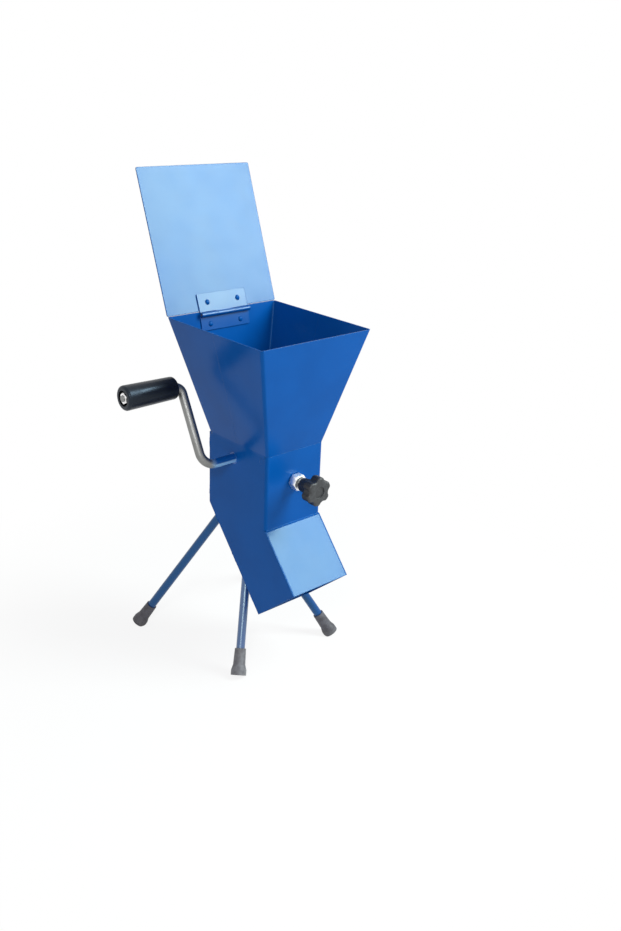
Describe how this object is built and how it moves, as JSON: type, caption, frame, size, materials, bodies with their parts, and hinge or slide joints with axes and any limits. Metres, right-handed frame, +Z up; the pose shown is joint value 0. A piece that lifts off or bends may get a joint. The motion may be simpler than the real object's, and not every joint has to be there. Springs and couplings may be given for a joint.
{
  "type": "hazelnut cracker",
  "caption": "Hand-cranked hazelnut cracker of folded blue sheet steel: flared hopper with hinged lid, fluted roller and adjustable jaw inside, slanted chute, splayed rod legs.",
  "frame": {"origin": "on the ground under the middle of the square housing", "axes": "+Z up; -Y is the front, where the knob and the chute's mouth are; the crank is on the -X side"},
  "size_m": [0.3101, 0.2792, 0.6464],
  "materials": {
    "blue_paint": "glossy blue paint on folded sheet steel and rod",
    "zinc_steel": "dull zinc plating on steel",
    "bright_plate": "bright plated steel",
    "black_plastic": "glossy black moulded plastic",
    "grey_rubber": "matt dark grey rubber",
    "bare_iron": "bare machined cast iron",
    "bush_brass": "turned brass"
  },
  "bodies": {
    "frame": {"hopper_front_half": "blue_paint", "hopper_back_half": "blue_paint", "housing": "blue_paint", "chute_cover": "blue_paint", "back_plate": "blue_paint", "rear_deflector": "blue_paint", "shaft_bush_left": "bush_brass", "shaft_bush_right": "bush_brass", "jaw_pin": "blue_paint", "screw_bush": "bright_plate", "bush_nut": "bright_plate", "leg_front_left": "blue_paint", "leg_front_right": "blue_paint", "leg_rear_left": "blue_paint", "leg_rear_right": "blue_paint", "cap_front_left": "grey_rubber", "cap_front_right": "grey_rubber", "cap_rear_left": "grey_rubber", "cap_rear_right": "grey_rubber", "hinge_wall_leaf": "blue_paint", "hinge_pin": "zinc_steel", "hinge_wall_rivets": "blue_paint"},
    "lid": {"lid": "blue_paint", "hinge_lid_leaf": "blue_paint", "hinge_lid_rivets": "blue_paint"},
    "crank": {"crank_bar": "zinc_steel", "roller": "bare_iron", "roller_pin": "zinc_steel", "grip_washer": "zinc_steel", "grip_nut": "bright_plate"},
    "grip": {"grip": "black_plastic"},
    "pad": {"thrust_pad": "zinc_steel"},
    "adjuster": {"adjusting_screw": "zinc_steel", "knob": "black_plastic"},
    "jaw": {"jaw": "bare_iron"}
  },
  "joints": [
    {"name": "lid_swing", "type": "hinge", "parent": "frame", "child": "lid", "pos_m": [0, 0.08865, 0.46505], "axis": [1, 0, 0], "range_deg": [0, 110]},
    {"name": "crank_turn", "type": "hinge", "parent": "frame", "child": "crank", "pos_m": [0, 0.00802, 0.292], "axis": [1, 0, 0], "continuous": true},
    {"name": "grip_spin", "type": "hinge", "parent": "crank", "child": "grip", "pos_m": [-0.145, 0.05659, 0.38734], "axis": [1, 0, 0], "continuous": true},
    {"name": "pad_slide", "type": "slide", "parent": "frame", "child": "pad", "axis": [0, 1, 0], "range_m": [-0.00333, 0.00333]},
    {"name": "knob_turn", "type": "hinge", "parent": "pad", "child": "adjuster", "pos_m": [0, -0.06, 0.271], "axis": [0, 1, 0], "range_deg": [-800, 800]},
    {"name": "jaw_swing", "type": "hinge", "parent": "frame", "child": "jaw", "pos_m": [0, -0.049, 0.306], "axis": [1, 0, 0], "range_deg": [-5.7, 5.7]}
  ],
  "couplings": [
    {"joint": "knob_turn", "follows": "pad_slide", "rad_per_m": 4188.8},
    {"joint": "jaw_swing", "follows": "pad_slide", "rad_per_m": 29.242}
  ]
}
